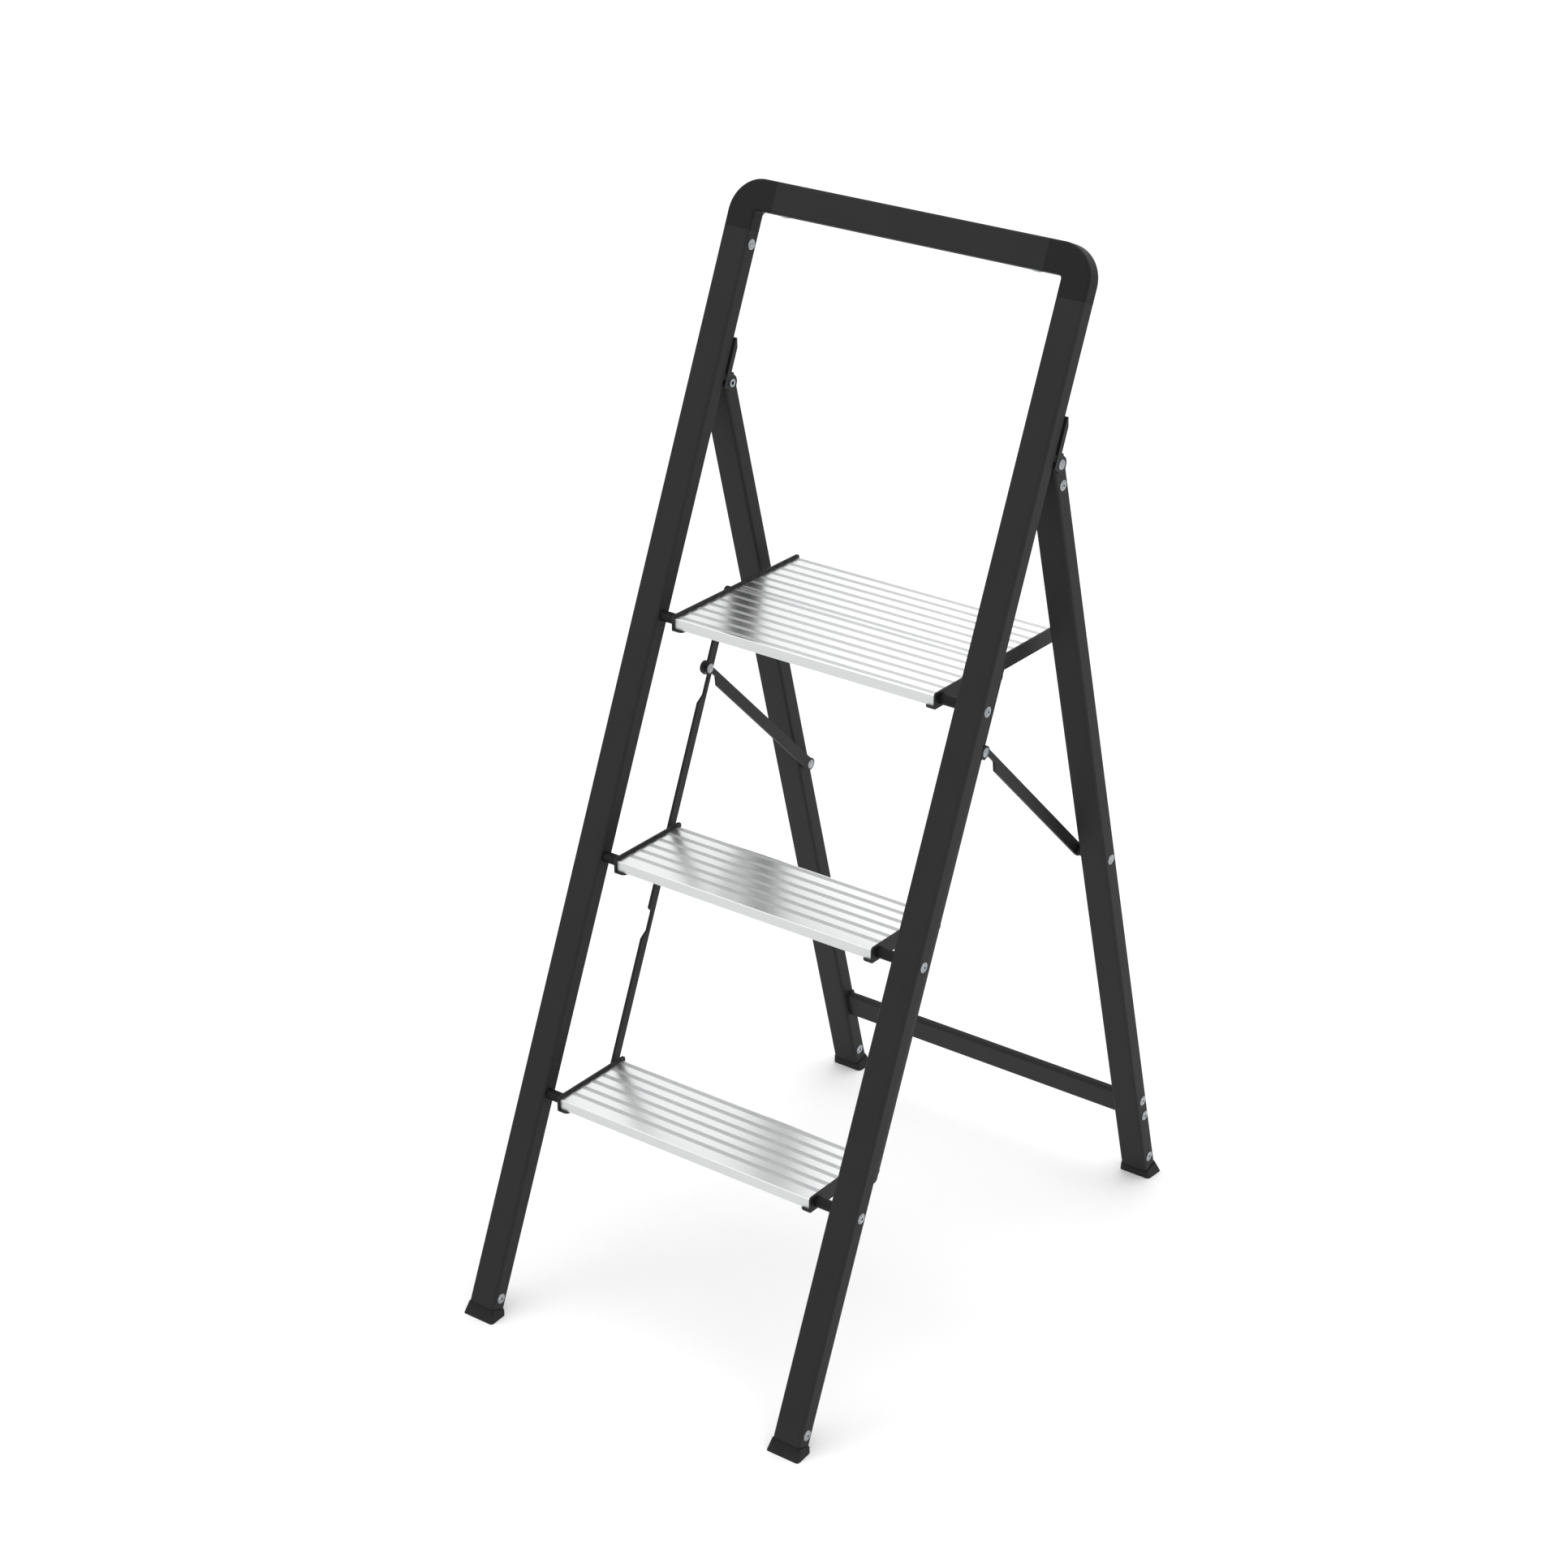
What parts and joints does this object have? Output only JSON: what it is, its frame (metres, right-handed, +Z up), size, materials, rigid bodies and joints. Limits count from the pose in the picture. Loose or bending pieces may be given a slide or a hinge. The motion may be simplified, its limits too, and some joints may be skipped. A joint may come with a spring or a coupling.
{
  "type": "folding step stool",
  "caption": "Slim folding step stool with ribbed metal treads, leaning tube frames, side struts and a high hand hoop.",
  "frame": {"origin": "on the floor, at the middle of the box round the open stool", "axes": "+X to the right across the stool, +Y towards the rear legs, +Z up"},
  "size_m": [0.428, 0.6676, 1.0918],
  "materials": {
    "black_tube": "smooth satin black powder coat on steel tube",
    "black_plastic": "fine matte black moulded plastic",
    "black_steel": "satin black powder coat on pressed sheet",
    "tread_aluminium": "satin extruded aluminium, ribbed and finely grooved",
    "rivet_steel": "bright zinc-plated steel rivets"
  },
  "bodies": {
    "front_frame": {"upright_right": "black_tube", "upright_left": "black_tube", "hand_rail": "black_tube", "hand_rail_elbow_right": "black_plastic", "hand_rail_elbow_left": "black_plastic", "elbow_rivets": "rivet_steel", "front_foot_right": "black_plastic", "front_foot_left": "black_plastic", "front_foot_rivets": "rivet_steel", "hinge_bracket_right": "black_steel", "hinge_bracket_left": "black_steel", "hinge_bracket_rivets": "rivet_steel", "hinge_pins": "rivet_steel", "axle_rivets": "rivet_steel", "axle_spacers": "black_plastic"},
    "rear_frame": {"rear_leg_right": "black_tube", "rear_leg_left": "black_tube", "leg_cap_right": "black_plastic", "leg_cap_left": "black_plastic", "leg_cap_rivets": "rivet_steel", "crossbar": "black_steel", "crossbar_rivets": "rivet_steel", "rear_foot_right": "black_plastic", "rear_foot_left": "black_plastic", "rear_foot_rivets": "rivet_steel", "strut_mount_pins": "rivet_steel", "strut_spacers": "black_plastic"},
    "bottom_tread": {"bottom_board": "tread_aluminium", "bottom_tread_bracket_right": "black_steel", "bottom_tread_bracket_left": "black_steel", "bottom_board_rivets": "rivet_steel", "bottom_link_pins": "black_steel"},
    "middle_tread": {"middle_board": "tread_aluminium", "middle_tread_bracket_right": "black_steel", "middle_tread_bracket_left": "black_steel", "middle_board_rivets": "rivet_steel", "middle_link_pins": "black_steel"},
    "top_tread": {"top_board_front": "tread_aluminium", "top_board_rear": "tread_aluminium", "top_tread_bracket_right": "black_steel", "top_tread_bracket_left": "black_steel", "top_board_rivets": "rivet_steel", "top_link_pins": "black_steel"},
    "link_bar_right": {"link_bar_right": "black_steel", "strut_pivot_right": "rivet_steel", "strut_washer_right": "black_steel"},
    "strut_right": {"strut_right": "black_steel", "strut_stud_right": "rivet_steel"},
    "link_bar_left": {"link_bar_left": "black_steel", "strut_pivot_left": "rivet_steel", "strut_washer_left": "black_steel"},
    "strut_left": {"strut_left": "black_steel", "strut_stud_left": "rivet_steel"}
  },
  "joints": [
    {"name": "rear_frame_fold", "type": "hinge", "parent": "front_frame", "child": "rear_frame", "pos_m": [0, 0.07618, 0.89604], "axis": [-1, 0, 0], "range_deg": [0, 38.03]},
    {"name": "bottom_tread_fold", "type": "hinge", "parent": "front_frame", "child": "bottom_tread", "pos_m": [0, -0.22916, 0.2226], "axis": [1, 0, 0], "range_deg": [0, 67.16]},
    {"name": "middle_tread_fold", "type": "hinge", "parent": "front_frame", "child": "middle_tread", "pos_m": [0, -0.13229, 0.4526], "axis": [1, 0, 0], "range_deg": [0, 67.16]},
    {"name": "top_tread_fold", "type": "hinge", "parent": "front_frame", "child": "top_tread", "pos_m": [0, -0.03542, 0.6826], "axis": [1, 0, 0], "range_deg": [0, 67.16]},
    {"name": "link_bar_right_turn", "type": "hinge", "parent": "top_tread", "child": "link_bar_right", "pos_m": [0.1657, 0.0501, 0.67696], "axis": [-1, 0, 0], "range_deg": [0, 67.16]},
    {"name": "strut_right_turn", "type": "hinge", "parent": "link_bar_right", "child": "strut_right", "pos_m": [0.1708, 0.02153, 0.60913], "axis": [-1, 0, 0], "range_deg": [0, 65.26]},
    {"name": "link_bar_left_turn", "type": "hinge", "parent": "top_tread", "child": "link_bar_left", "pos_m": [-0.1657, 0.0501, 0.67696], "axis": [-1, 0, 0], "range_deg": [0, 67.16]},
    {"name": "strut_left_turn", "type": "hinge", "parent": "link_bar_left", "child": "strut_left", "pos_m": [-0.1708, 0.02153, 0.60913], "axis": [-1, 0, 0], "range_deg": [0, 65.26]}
  ],
  "couplings": [
    {"joint": "bottom_tread_fold", "follows": "rear_frame_fold", "ratio": 1.766},
    {"joint": "middle_tread_fold", "follows": "rear_frame_fold", "ratio": 1.766},
    {"joint": "top_tread_fold", "follows": "rear_frame_fold", "ratio": 1.766},
    {"joint": "link_bar_right_turn", "follows": "rear_frame_fold", "ratio": 1.766},
    {"joint": "strut_right_turn", "follows": "rear_frame_fold", "ratio": 1.7159},
    {"joint": "link_bar_left_turn", "follows": "rear_frame_fold", "ratio": 1.766},
    {"joint": "strut_left_turn", "follows": "rear_frame_fold", "ratio": 1.7159}
  ]
}
